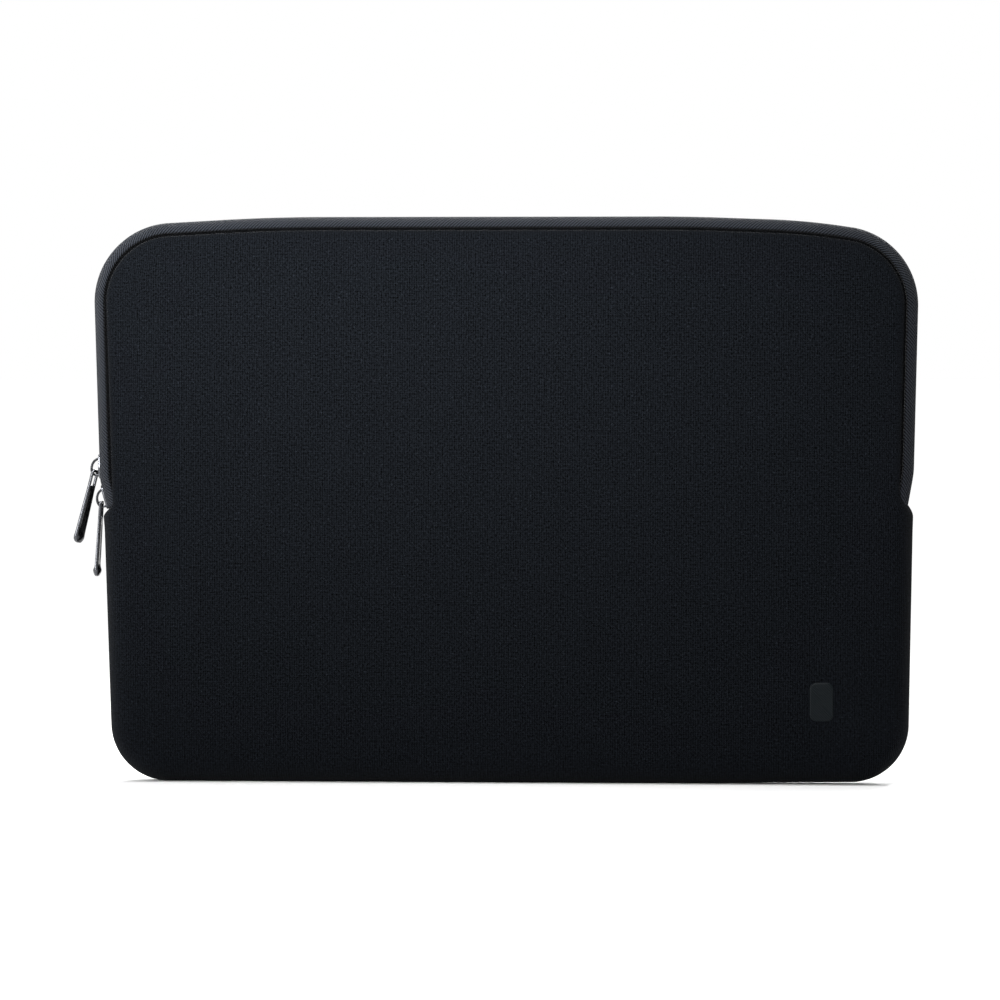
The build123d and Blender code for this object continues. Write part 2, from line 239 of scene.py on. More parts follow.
# ---- materials -----------------------------------------------------------------------------------
class Shade:
    """A small helper for building one material's nodes."""

    def __init__(self, name, colour, roughness, metallic=0.0, specular=0.3):
        self.material = bpy.data.materials.new(name)
        self.material.use_nodes = True
        self.tree = self.material.node_tree
        self.tree.nodes.clear()
        end = self.tree.nodes.new("ShaderNodeOutputMaterial")
        self.bsdf = self.tree.nodes.new("ShaderNodeBsdfPrincipled")
        self.tree.links.new(self.bsdf.outputs[0], end.inputs[0])
        self.bsdf.inputs["Base Color"].default_value = (*colour, 1)
        self.bsdf.inputs["Roughness"].default_value = roughness
        self.bsdf.inputs["Metallic"].default_value = metallic
        self.bsdf.inputs["Specular IOR Level"].default_value = specular
        self.colour = colour

    def put(self, socket, value):
        """Sets a socket, or links it when the value is another node's output."""
        if hasattr(value, "links"):
            self.tree.links.new(value, socket)
        else:
            socket.default_value = value

    def math(self, operation, a, b=0.0, clamp=False):
        node = self.tree.nodes.new("ShaderNodeMath")
        node.operation = operation
        node.use_clamp = clamp
        self.put(node.inputs[0], a)
        self.put(node.inputs[1], b)
        return node.outputs[0]

    def weave_uv(self):
        """The developed surface's two coordinates in millimetres."""
        node = self.tree.nodes.new("ShaderNodeUVMap")
        node.uv_map = "weave"
        parts = self.tree.nodes.new("ShaderNodeSeparateXYZ")
        self.tree.links.new(node.outputs[0], parts.inputs[0])
        return parts.outputs[0], parts.outputs[1], node.outputs[0]

    def place(self):
        """The point in the piece's own space, in metres."""
        return self.tree.nodes.new("ShaderNodeTexCoord").outputs["Object"]

    def noise(self, vector, scale, detail=2.0, roughness=0.5):
        node = self.tree.nodes.new("ShaderNodeTexNoise")
        self.tree.links.new(vector, node.inputs["Vector"])
        node.inputs["Scale"].default_value = scale
        node.inputs["Detail"].default_value = detail
        node.inputs["Roughness"].default_value = roughness
        return node.outputs[0]

    def specks(self, vector, scale, share):
        """1 on a small share of tiny round cells, 0 elsewhere."""
        node = self.tree.nodes.new("ShaderNodeTexVoronoi")
        node.feature = "F1"
        self.tree.links.new(vector, node.inputs["Vector"])
        node.inputs["Scale"].default_value = scale
        pick = self.tree.nodes.new("ShaderNodeSeparateColor")
        self.tree.links.new(node.outputs["Color"], pick.inputs[0])
        chosen = self.math("LESS_THAN", pick.outputs[0], share)
        near = self.math("LESS_THAN", node.outputs["Distance"], 0.32)
        return self.math("MULTIPLY", chosen, near)

    def wave(self, value, pitch):
        """0 to 1 and back once every pitch."""
        return self.half(self.math("COSINE", self.math("MULTIPLY", value, 2 * math.pi / pitch)))

    def half(self, value):
        return self.math("ADD", self.math("MULTIPLY", value, 0.5), 0.5)

    def tint(self, factor, dark, light):
        """The colour runs from dark to light times itself as factor goes from 0 to 1."""
        ramp = self.tree.nodes.new("ShaderNodeMix")
        ramp.data_type = "RGBA"
        self.put(ramp.inputs[0], factor)
        ramp.inputs[6].default_value = (*[c * dark for c in self.colour], 1)
        ramp.inputs[7].default_value = (*[c * light for c in self.colour], 1)
        self.tree.links.new(ramp.outputs[2], self.bsdf.inputs["Base Color"])
        return ramp

    def bump(self, height, distance, strength=1.0):
        node = self.tree.nodes.new("ShaderNodeBump")
        node.inputs["Strength"].default_value = strength
        node.inputs["Distance"].default_value = distance
        self.tree.links.new(height, node.inputs["Height"])
        self.tree.links.new(node.outputs[0], self.bsdf.inputs["Normal"])

    def gloss(self, factor, low, high):
        node = self.tree.nodes.new("ShaderNodeMapRange")
        self.tree.links.new(factor, node.inputs[0])
        node.inputs[3].default_value = low
        node.inputs[4].default_value = high
        self.tree.links.new(node.outputs[0], self.bsdf.inputs["Roughness"])


def knit_material():
    """Fine knit jersey bonded to neoprene: upright wales, small loops, a soft mottle, a few light fibres."""
    m = Shade("knit_face", (0.0033, 0.0040, 0.0052), 0.92, specular=0.01)
    u, v, uv = m.weave_uv()
    wale = m.wave(u, WALE)
    slant = m.math("ABSOLUTE", m.math("SUBTRACT", m.math("FRACT", m.math("DIVIDE", u, WALE)), 0.5))
    course = m.wave(m.math("ADD", v, m.math("MULTIPLY", slant, 0.9)), COURSE)
    loops = m.math("ADD", m.math("MULTIPLY", wale, 0.55), m.math("MULTIPLY", course, 0.45))
    grain = m.noise(uv, 1.05, 3.0, 0.7)
    mottle = m.noise(uv, 0.055, 4.0, 0.6)
    speck = m.specks(uv, 0.85, 0.035)
    tone = m.math("ADD", m.math("MULTIPLY", loops, 1.1), m.math("MULTIPLY", grain, 5.0))
    tone = m.math("ADD", tone, m.math("MULTIPLY", mottle, 0.3))
    tone = m.math("SUBTRACT", tone, 2.75)
    tone = m.math("ADD", tone, m.math("MULTIPLY", speck, 1.1))
    m.tint(tone, 0.5, 1.55).clamp_factor = False
    m.bump(m.math("ADD", loops, m.math("MULTIPLY", grain, 0.8)), 0.00016)
    m.bsdf.inputs["Sheen Weight"].default_value = 0.02
    m.bsdf.inputs["Sheen Roughness"].default_value = 0.5
    return m.material


def tape_material():
    """Woven polyester zip tape: a herringbone twill, with painted shade darkening it where it dips into its
    seam's groove.
    """
    m = Shade("zip_tape", (0.0100, 0.0115, 0.0146), 0.85, specular=0.02)
    s, w, uv = m.weave_uv()
    outer = m.math("GREATER_THAN", w, TAPE_MIDDLE)
    lean = m.math("SUBTRACT", m.math("MULTIPLY", outer, 2.0), 1.0)
    across = m.math("ABSOLUTE", m.math("SUBTRACT", w, TAPE_MIDDLE))
    rib = m.wave(m.math("ADD", s, across), TAPE_RIB)
    thread = m.wave(m.math("SUBTRACT", s, m.math("MULTIPLY", across, 2.6)), 0.7)
    fade = m.math("ADD", m.math("MULTIPLY", lean, 0.16), 0.84)
    height = m.math("ADD", m.math("MULTIPLY", m.math("MULTIPLY", rib, fade), 0.75),
                    m.math("MULTIPLY", thread, 0.25))
    grain = m.noise(uv, 1.7, 3.0, 0.65)
    patch = m.noise(uv, 0.06, 3.0, 0.5)
    tone = m.math("ADD", m.math("MULTIPLY", height, 1.25), m.math("MULTIPLY", grain, 0.45))
    tone = m.math("ADD", tone, m.math("MULTIPLY", patch, 0.15))
    tone = m.math("SUBTRACT", tone, 0.42)
    # painted shade: the tape's colour darkens where it dips into the seam's groove
    groove_shade = m.math("MULTIPLY", m.math("SUBTRACT", w, TAPE_GROOVE_SHADE), 0.6, True)
    tone = m.math("SUBTRACT", tone, groove_shade)
    m.tint(m.math("MAXIMUM", tone, 0.0), 0.02, 2.05).clamp_factor = False
    m.bump(m.math("ADD", height, m.math("MULTIPLY", grain, 0.35)), 0.00028)
    m.bsdf.inputs["Sheen Weight"].default_value = 0.05
    return m.material


def lining_material():
    """Soft brushed lining: short fibres laid in slow swirls."""
    m = Shade("lining", (0.0125, 0.0135, 0.0165), 0.97, specular=0.03)
    uv = m.weave_uv()[2]
    swirl = m.noise(uv, 0.035, 4.0, 0.6)
    nap = m.noise(uv, 0.5, 6.0, 0.75)
    fibre = m.noise(uv, 2.2, 4.0, 0.75)
    tone = m.math("ADD", m.math("MULTIPLY", swirl, 0.5), m.math("MULTIPLY", nap, 2.4))
    tone = m.math("ADD", tone, m.math("MULTIPLY", fibre, 0.6))
    m.tint(m.math("SUBTRACT", tone, 1.25), 0.45, 1.6)
    m.bump(m.math("ADD", fibre, nap), 0.0004, 0.8)
    m.bsdf.inputs["Sheen Weight"].default_value = 0.06
    m.bsdf.inputs["Sheen Roughness"].default_value = 0.4
    return m.material


def binding_material():
    """Woven binding tape with cross ribs and a line of stitches."""
    m = Shade("binding", (0.016, 0.018, 0.023), 0.85, specular=0.15)
    s, w, uv = m.weave_uv()
    rib = m.wave(s, 0.8)
    stitch = m.math("GREATER_THAN", m.wave(s, BOUND_STITCH), 0.35)
    row = m.math("LESS_THAN", m.math("ABSOLUTE", m.math("SUBTRACT", w, 2.0)), 0.28)
    seam = m.math("MULTIPLY", stitch, row)
    grain = m.noise(uv, 2.0, 2.0)
    tone = m.math("ADD", m.math("MULTIPLY", rib, 0.4), m.math("MULTIPLY", grain, 0.4))
    m.tint(m.math("ADD", tone, m.math("MULTIPLY", seam, 0.5), True), 0.55, 1.7)
    m.bump(m.math("ADD", rib, m.math("MULTIPLY", seam, 1.5)), 0.0002)
    return m.material


def nylon_material():
    """Moulded and drawn nylon: satin, slightly streaked."""
    m = Shade("zip_coil", (0.014, 0.015, 0.018), 0.38, specular=0.5)
    grain = m.noise(m.place(), 900.0, 3.0)
    streak = m.noise(m.place(), 160.0, 2.0)
    m.tint(streak, 0.6, 1.6)
    m.gloss(grain, 0.28, 0.55)
    m.bump(grain, 0.00004)
    return m.material


def metal_material():
    """Black plated zinc: glossy, with the edges painted lighter, partly as rubbed plating and partly as a
    painted highlight, and a few fine marks.
    """
    m = Shade("black_metal", (0.016, 0.0165, 0.018), 0.22, metallic=0.9, specular=0.5)
    edge = m.tree.nodes.new("ShaderNodeNewGeometry").outputs["Pointiness"]
    # edges lighter by pointiness: partly rubbed plating, partly a painted highlight for light glancing off
    # them
    edge_wear_and_highlight = m.math("MULTIPLY", m.math("SUBTRACT", edge, 0.505), 14.0, True)
    marks = m.noise(m.place(), 420.0, 6.0, 0.7)
    cast = m.noise(m.place(), 1500.0, 3.0, 0.6)
    rub_and_highlight = m.math("MULTIPLY", edge_wear_and_highlight, m.math("ADD", marks, 0.35), True)
    m.tint(rub_and_highlight, 0.8, 9.0)
    m.gloss(m.math("ADD", m.math("MULTIPLY", marks, 0.7), m.math("MULTIPLY", rub_and_highlight, 0.5)), 0.12, 0.42)
    m.bump(cast, 0.00002, 0.6)
    return m.material


def thread_material():
    """Twisted sewing thread."""
    m = Shade("thread", (0.0014, 0.0015, 0.0018), 0.8, specular=0.03)
    ply = m.noise(m.place(), 2600.0, 2.0)
    m.tint(ply, 0.5, 1.6)
    m.bump(ply, 0.00004)
    return m.material


def badge_material():
    """Tonal silicone badge: slick on the ribs, matt between them."""
    m = Shade("badge", (0.0042, 0.0056, 0.0066), 0.5, specular=0.06)
    u, v, uv = m.weave_uv()
    rib = m.wave(m.math("ADD", u, v), 1.2)
    grain = m.noise(uv, 1.8, 3.0)
    m.tint(m.math("ADD", m.math("MULTIPLY", rib, 0.7), m.math("MULTIPLY", grain, 0.3)), 0.5, 2.0)
    m.gloss(rib, 0.55, 0.3)
    m.bump(grain, 0.00005)
    return m.material


def floor_material():
    """A matt pale floor with a trace of unevenness."""
    m = Shade("pale_floor", (0.86, 0.86, 0.86), 0.9, specular=0.2)
    m.tint(m.noise(m.place(), 3.0, 2.0), 0.99, 1.01)
    return m.material


KNIT = knit_material()
TAPE = tape_material()
LINING = lining_material()
BINDING = binding_material()
NYLON = nylon_material()
METAL = metal_material()
BADGE = badge_material()
THREAD = thread_material()

# ---- the crown of the panels ---------------------------------------------------------------------
CROWN_BOX = (-170.0, 171.0, 19.0, 244.0)     # x and z limits of the part that swells
CROWN_CELLS = (96, 64)
CROWN_CAP = 1.6          # the most that the blown sheet is let rise
CROWN_FRAMES = 24


def crown_by_shape(gx, gz):
    """A slight swelling, flatter in the middle than a sine."""
    return 1.15 * (np.sin(math.pi * gx)[:, None] * np.sin(math.pi * gz)[None, :]) ** 0.6


def crown_by_cloth():
    """The panel as a sheet held round its edge and blown out a little: its rise over a regular grid."""
    x0, x1, z0, z1 = CROWN_BOX
    nx, nz = CROWN_CELLS
    gx, gz = np.linspace(x0, x1, nx + 1), np.linspace(z0, z1, nz + 1)
    points = np.array([(x, 0, z) for z in gz for x in gx]) * MM
    mesh = bpy.data.meshes.new("crown_sim")
    mesh.from_pydata(points.tolist(), [], strips(nz + 1, nx + 1, False))
    sheet = bpy.data.objects.new("crown_sim", mesh)
    bpy.context.collection.objects.link(sheet)
    edge = [j * (nx + 1) + i for j in range(nz + 1) for i in range(nx + 1)
            if i in (0, nx) or j in (0, nz)]
    sheet.vertex_groups.new(name="held").add(edge, 1.0, "REPLACE")
    cloth = sheet.modifiers.new("Cloth", "CLOTH")
    cloth.settings.vertex_group_mass = "held"
    cloth.settings.quality = 6
    cloth.settings.mass = 0.35
    cloth.settings.tension_stiffness = 60
    cloth.settings.compression_stiffness = 60
    cloth.settings.shear_stiffness = 30
    cloth.settings.bending_stiffness = 12
    cloth.settings.shrink_min = -0.0012
    cloth.settings.use_pressure = True
    cloth.settings.uniform_pressure_force = 1.5
    cloth.settings.effector_weights.gravity = 0.25
    cloth.collision_settings.use_collision = False
    scene = bpy.context.scene
    scene.frame_start, scene.frame_end = 1, CROWN_FRAMES
    cloth.point_cache.frame_start, cloth.point_cache.frame_end = 1, CROWN_FRAMES
    for i in range(1, CROWN_FRAMES + 1):
        scene.frame_set(i)
    settled = sheet.evaluated_get(bpy.context.evaluated_depsgraph_get()).data
    co = np.zeros(len(settled.vertices) * 3, np.float32)
    settled.vertices.foreach_get("co", co)
    rise = np.abs(co.reshape(-1, 3)[:, 1]).reshape(nz + 1, nx + 1).T / MM
    scene.frame_set(1)
    bpy.data.objects.remove(sheet)
    bpy.data.meshes.remove(mesh)
    most = rise.max()
    if not 0.01 < most < 200:
        return None
    return rise * min(1.0, CROWN_CAP / most)


def crown_grid():
    """The rise of both panels' faces: half drawn, half blown when the simulation gives a rise within bounds.
    """
    nx, nz = CROWN_CELLS
    shape = crown_by_shape(np.linspace(0, 1, nx + 1), np.linspace(0, 1, nz + 1))
    blown = crown_by_cloth()
    return shape if blown is None else 0.5 * shape + 0.5 * blown


RISE = crown_grid()


def rise_at(x, z):
    """How far the panel's face swells past its edge at a place, between the crown grid's points."""
    x0, x1, z0, z1 = CROWN_BOX
    nx, nz = CROWN_CELLS
    fx = np.clip((x - x0) / (x1 - x0) * nx, 0, nx - 1e-6)
    fz = np.clip((z - z0) / (z1 - z0) * nz, 0, nz - 1e-6)
    i, j = fx.astype(int), fz.astype(int)
    a, b = fx - i, fz - j
    swell = ((1 - a) * (1 - b) * RISE[i, j] + a * (1 - b) * RISE[i + 1, j]
             + (1 - a) * b * RISE[i, j + 1] + a * b * RISE[i + 1, j + 1])
    drift = (np.sin(x * 0.031 + 1.3) * np.sin(z * 0.043 + 0.4) + 0.6 * np.sin(x * 0.067 + z * 0.051)
             + 0.4 * np.sin(x * 0.12 - z * 0.09 + 2.0))
    held = smoothstep(0, 14, np.minimum(np.minimum(x - x0, x1 - x), np.minimum(z - z0, z1 - z)))
    return swell + 0.09 * drift * held


# ---- panels and lining ---------------------------------------------------------------------------
SIDE_STEPS, LONG_STEPS = 150, 180


def edge_samples():
    """The edge line's points, clockwise from the middle of the lower left corner, side by side."""
    line = rounded_line(EDGE_LINE, EDGE_RADII, closed=True)
    line = np.vstack([line, line[:1]])
    d = lengths(line)

    def nearest(x, z):
        return int(np.argmin(np.hypot(line[:, 0] - x, line[:, 1] - z)))

    marks = [nearest(-177, 7.9), nearest(-183, 250), nearest(182, 246), nearest(180, 8.5)]
    line = np.vstack([line[marks[0]:-1], line[:marks[0] + 1]])
    marks = [0] + [m - marks[0] for m in marks[1:]] + [len(line) - 1]
    out = []
    for k, steps in enumerate((SIDE_STEPS, LONG_STEPS, SIDE_STEPS, LONG_STEPS)):
        part = line[marks[k]:marks[k + 1] + 1]
        if k % 2:
            weight = np.ones(len(part))
        else:
            weight = 1 + 3.0 * np.exp(-((part[:, 1] - 128) / 8) ** 2)
        run = np.concatenate([[0], np.cumsum(np.linalg.norm(np.diff(part, axis=0), axis=1)
                                             * (weight[1:] + weight[:-1]) / 2)])
        at = np.linspace(0, run[-1], steps + 1)[:-1]
        out.append(np.stack([np.interp(at, run, part[:, 0]), np.interp(at, run, part[:, 1])], 1))
    return np.vstack(out)


EDGE = edge_samples()
EDGE_OUT = outward(EDGE, closed=True)


def roll_share():
    """0 where the edge is the zip's seam, 1 where the panels roll round to each other."""
    share = np.zeros(len(EDGE))
    for hand, (top, foot) in NOTCH.items():
        mine = EDGE[:, 0] * hand > 0
        share[mine] = 1 - smoothstep(foot, top, EDGE[mine, 1])
    return share


ROLL_SHARE = roll_share()


def grid_inside(ring):
    """A grid of points that fills a ring of four sides, and each point's index in the ring or after it."""
    m, n = LONG_STEPS, SIDE_STEPS
    loop = np.vstack([ring, ring[:1]])
    left = loop[:n + 1]
    top = loop[n:n + m + 1]
    right = loop[n + m:2 * n + m + 1][::-1]
    bottom = loop[2 * n + m:][::-1]
    s = np.linspace(0, 1, m + 1)[:, None, None]
    z = (left[:, -1] + right[:, -1]) / 2
    t = ((z - z[0]) / (z[-1] - z[0]))[None, :, None]
    grid = ((1 - t) * bottom[:, None] + t * top[:, None] + (1 - s) * left[None] + s * right[None]
            - (1 - s) * (1 - t) * bottom[0] - s * (1 - t) * bottom[-1]
            - (1 - s) * t * top[0] - s * t * top[-1])
    count = len(ring)
    index = np.zeros((m + 1, n + 1), int)
    index[0, :] = np.arange(n + 1)
    index[:, n] = n + np.arange(m + 1)
    index[m, :] = (2 * n + m - np.arange(n + 1)) % count
    index[:, 0] = (count - np.arange(m + 1)) % count
    index[1:m, 1:n] = count + np.arange((m - 1) * (n - 1)).reshape(m - 1, n - 1)
    return grid, index


def shell(name, seam, roll, times, hand, material):
    """A closed sheet: its section round the edge, and a grid over each of its two faces."""
    a, b = curve_through(seam, times), curve_through(roll, times)
    share = ROLL_SHARE[:, None, None]
    section = a[None] * (1 - share) + b[None] * share
    count, rows = len(EDGE), len(a)
    points = spread(section, EDGE, EDGE_OUT, 1.0)
    face_uv = np.concatenate([[0], np.cumsum(np.linalg.norm(np.diff(b, axis=0), axis=1))]) + b[0, 0]
    turned = len(a) // 2
    flat = np.minimum(face_uv, face_uv[turned] * 2 - face_uv)
    uv = np.stack([EDGE[:, 0, None] + EDGE_OUT[:, 0, None] * flat,
                   EDGE[:, 1, None] + EDGE_OUT[:, 1, None] * flat], -1)
    all_points = [np.vstack([points[:, r] for r in range(rows)])]
    all_uv = [np.vstack([uv[:, r] for r in range(rows)])]
    faces = strips(rows, count, True)
    used = rows * count
    for r in (0, rows - 1):
        grid, index = grid_inside(points[:, r][:, [0, 2]])
        inner = grid[1:-1, 1:-1].reshape(-1, 2)
        y = section[0, r, 1] + rise_at(inner[:, 0], inner[:, 1])
        all_points.append(np.stack([inner[:, 0], y, inner[:, 1]], 1))
        all_uv.append(inner)
        where = np.where(index < count, index + r * count, index - count + used)
        used += len(inner)
        for i in range(index.shape[0] - 1):
            for j in range(index.shape[1] - 1):
                faces.append((where[i, j], where[i + 1, j], where[i + 1, j + 1], where[i, j + 1]))
    points = np.vstack(all_points)
    points[:, 1] *= hand
    faces = [tuple(int(k) for k in f) for f in faces]
    return make_piece(name, points, faces, material, np.vstack(all_uv))


# ---- zip tapes, coils and bindings ---------------------------------------------------------------
def tape_section():
    """A tape's closed section and how far each point is from the slit along the cloth."""
    turn = np.radians([0, 12, 24, 36, 48, 60, 69, 76])
    arc = [(-TAPE_ROUND + TAPE_ROUND * math.cos(t), TAPE_FLAT + TAPE_ROUND * math.sin(t)) for t in turn]
    small = TAPE_ROUND - TAPE_WALL
    under = [(-TAPE_ROUND + small * math.cos(t), TAPE_FLAT + small * math.sin(t)) for t in turn[::-1]]
    face = [(-0.62, 0.28), (-0.25, 0.24), (-0.06, 0.44), (0.0, 1.0), (0.02, 2.2), (0.0, 3.9), *arc,
            (-4.95, 11.26), (-5.25, 10.95), (-5.42, 10.2), (-5.6, 9.4), (-6.4, 8.95)]
    back = [(-6.2, 8.4), (-5.1, 8.8), (-4.85, 9.7), (-4.8, 10.25), *under, (-0.7, 3.9), (-0.7, 2.2),
            (-0.74, 1.1)]
    points = np.array(face + back)
    run = np.concatenate([[0], np.cumsum(np.linalg.norm(np.diff(np.array(face), axis=0), axis=1))])
    return points, np.concatenate([run, np.interp(np.linspace(1, 0, len(back)), [0, 1], [0, run[-1]])])


def sink_ends(section, s, total):
    """Towards its two ends the tape draws in, to pass under the panel's edge."""
    near = 1 - smoothstep(0, 13, min(s, total - s + 2))
    out = section.copy()
    out[:, 1] *= 1 - 0.17 * near
    return out


def zip_samples(step, extra_end=0.0, trim=0.0):
    """Points along the zip's line, from its parked end, with its far end lengthened and both ends trimmed."""
    line = rounded_line(ZIP_LINE, ZIP_RADII)
    if extra_end:
        last = (line[-1] - line[-2]) / np.linalg.norm(line[-1] - line[-2])
        line = np.vstack([line, line[-1] + last * extra_end])
    total = lengths(line)[-1]
    return at_length(line, np.arange(trim, total - trim, step))


def tube(name, path, out, radius, sides, material):
    """A round thread along a path; out is each point's direction out of the sleeve, in x and z."""
    ahead = np.gradient(path, axis=0)
    ahead /= np.linalg.norm(ahead, axis=1)[:, None]
    up = np.stack([out[:, 0], np.zeros(len(out)), out[:, 1]], 1)
    side = np.cross(ahead, up)
    side /= np.linalg.norm(side, axis=1)[:, None]
    up = np.cross(side, ahead)
    turn = np.arange(sides) * 2 * math.pi / sides
    points = path[:, None] + radius * (np.cos(turn)[None, :, None] * up[:, None]
                                       + np.sin(turn)[None, :, None] * side[:, None])
    rows = len(path)
    faces = strips(rows, sides, True)
    faces.append(tuple(range(sides)))
    faces.append(tuple((rows - 1) * sides + i for i in reversed(range(sides))))
    return make_piece(name, points.reshape(-1, 3), faces, material)


def coil(name, hand, phase, material):
    """One row of the zip: a drawn thread wound in flat turns, each hooked over the parting plane."""
    trim = 2.4
    line = zip_samples(0.25, trim=trim)
    total = lengths(line)[-1]
    s = np.arange(0, total, COIL_PITCH / COIL_STEPS)
    centre, out = at_length(line, s), outward(line)
    d = lengths(line)
    out = np.stack([np.interp(s, d, out[:, 0]), np.interp(s, d, out[:, 1])], 1)
    turn = 2 * math.pi * (s / COIL_PITCH + phase)
    u = -1.45 + 0.5 * np.sin(turn)
    v = 1.35 + 1.42 * np.cos(turn) + 0.18 * np.cos(2 * turn)
    path = np.stack([centre[:, 0] + out[:, 0] * u, hand * v, centre[:, 1] + out[:, 1] * u], 1)
    return tube(name, path, out, COIL_THREAD, COIL_SIDES, material)


def soft_block(u0, u1, v0, v1, rounding, steps=4):
    """A rectangle in (u, v) with rounded corners, and each point's distance round it."""
    out = []
    for cu, cv, start in ((u1 - rounding, v1 - rounding, 0), (u0 + rounding, v1 - rounding, 90),
                          (u0 + rounding, v0 + rounding, 180), (u1 - rounding, v0 + rounding, 270)):
        for t in np.radians(np.linspace(start, start + 90, steps)):
            out.append((cu + rounding * math.cos(t), cv + rounding * math.sin(t)))
    out = np.array(out)
    return out, lengths(out)


def stitched(section, s, total):
    """A bound edge pulled in a little at every stitch."""
    centre = section.mean(0)
    pull = 1 - 0.05 * (0.5 + 0.5 * math.cos(2 * math.pi * s / BOUND_STITCH)) ** 2
    return centre + (section - centre) * pull


def badge():
    """A plain rounded badge laid on the panel, with slanting ribs."""
    low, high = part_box("badge_patch")
    x0, x1, z0, z1 = low.x / MM, high.x / MM, low.z / MM, high.z / MM
    cx, cz, w, h = (x0 + x1) / 2, (z0 + z1) / 2, (x1 - x0) / 2, (z1 - z0) / 2
    corner, rings, around = 3.0, 26, 96
    points, uv = [], []
    angle = np.linspace(0, 2 * math.pi, around, endpoint=False)
    corners = np.stack([np.sign(np.cos(angle)) * (w - corner), np.sign(np.sin(angle)) * (h - corner)], 1)
    rim = corners + corner * np.stack([np.cos(angle), np.sin(angle)], 1)
    for k in range(rings):
        t = 1 - k / rings
        flat = rim * t
        edge = (1 - t) * w
        lift = 0.42 * smoothstep(-0.05, 0.5, edge)
        rib = np.cos(2 * math.pi * (flat[:, 0] + flat[:, 1]) / 1.7)
        lift = lift + 0.07 * rib * smoothstep(0.7, 1.1, edge)
        x, z = cx + flat[:, 0], cz + flat[:, 1]
        y = -(PANEL_FACE + rise_at(x, z) + lift)
        points.append(np.stack([x, y, z], 1))
        uv.append(flat)
    faces = strips(rings, around, True)
    base = points[0].copy()
    base[:, 1] += 0.35
    middle_y = -(PANEL_FACE + float(rise_at(np.array([cx]), np.array([cz]))[0]) + 0.42)
    points = np.vstack([*points, base, [[cx, middle_y, cz]]])
    uv = np.vstack([*uv, rim, [[0, 0]]])
    last, under, tip = (rings - 1) * around, rings * around, rings * around + around
    for i in range(around):
        j = (i + 1) % around
        faces.append((last + i, last + j, tip))
        faces.append((i, under + i, under + j, j))
    faces.append(tuple(under + i for i in range(around)))
    return make_piece("badge", points, faces, BADGE, uv)


def slider_axes(which):
    """A slider's middle on the zip's surface, the way up the zip and the way out of the sleeve."""
    joints = {j["name"]: j for j in frame["record"]["behaviour"]["joints"]}
    up = np.array(joints[f"slider_{which}_travel"]["axis"], float)
    out = np.array([-up[2], 0, up[0]])
    bar = np.array(joints[f"puller_{which}_swing"]["pos_m"], float) / MM
    return bar - up * BAR_ALONG - out * BAR_OUT, up, out, bar


def strap(which):
    """The arched strap on a slider that its puller hangs from: a flat wire bent into a D."""
    middle, up, out, _ = slider_axes(which)
    line = curve_through(STRAP_LINE, 4)
    ahead = np.gradient(line, axis=0)
    ahead /= np.linalg.norm(ahead, axis=1)[:, None]
    section, _ = soft_block(-0.56, 0.56, -0.8, 0.8, 0.3)
    across = np.array([0, -1.0, 0])
    points = []
    for (along, rise), (da, dr) in zip(line, ahead):
        normal = up * -dr + out * da
        centre = middle + up * along + out * rise
        points.append(centre + section[:, :1] * normal + section[:, 1:] * across)
    rows, count = len(line), len(section)
    faces = strips(rows, count, True)
    faces.append(tuple(range(count)))
    faces.append(tuple((rows - 1) * count + i for i in reversed(range(count))))
    return make_piece(f"strap_{which}", np.vstack(points), faces, METAL)


